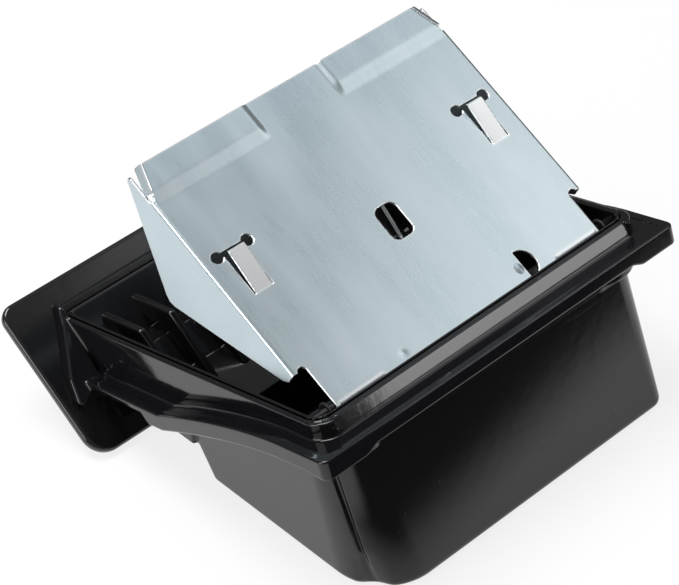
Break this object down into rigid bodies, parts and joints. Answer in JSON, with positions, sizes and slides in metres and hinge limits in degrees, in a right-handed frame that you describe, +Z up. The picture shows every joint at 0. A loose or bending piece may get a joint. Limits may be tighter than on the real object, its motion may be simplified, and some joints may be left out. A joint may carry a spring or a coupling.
{
  "type": "drop-in tray with hinged flap",
  "caption": "Gloss black drop-in bin tray with a stepped rim frame, a leaning rounded fascia and a sprung, hinged zinc-plated steel flap that folds down into its mouth",
  "frame": {"origin": "middle of the bin's flat base, on the surface that the tray stands on", "axes": "+X along the near rim, +Y from the near rim to the fascia, +Z up"},
  "size_m": [0.1432, 0.1345, 0.0931],
  "materials": {
    "bin_plastic": "gloss black moulding",
    "frame_plastic": "gloss black moulding",
    "fascia_plastic": "gloss black moulding",
    "screw_steel": "dark zinc",
    "flap_zinc": "satin zinc plate",
    "rod_steel": "bright drawn",
    "ring_steel": "black phosphate",
    "spring_wire": "bright spring wire"
  },
  "bodies": {
    "tray": {"bin_shell": "bin_plastic", "rim_frame": "frame_plastic", "fascia_panel": "fascia_plastic", "fascia_screws": "screw_steel", "hinge_rod": "rod_steel", "rod_ring_left": "ring_steel", "rod_ring_right": "ring_steel", "spring_pin": "rod_steel", "flap_spring": "spring_wire"},
    "flap": {"flap_plate": "flap_zinc"}
  },
  "joints": [
    {"name": "flap_hinge", "type": "hinge", "parent": "tray", "child": "flap", "pos_m": [0, -0.01216, 0.05212], "axis": [1, 0, 0], "range_deg": [-50.5, 60], "stiffness_Nm_per_rad": 0.06, "springref_deg": 20.97, "deforming": ["flap_spring"]}
  ]
}
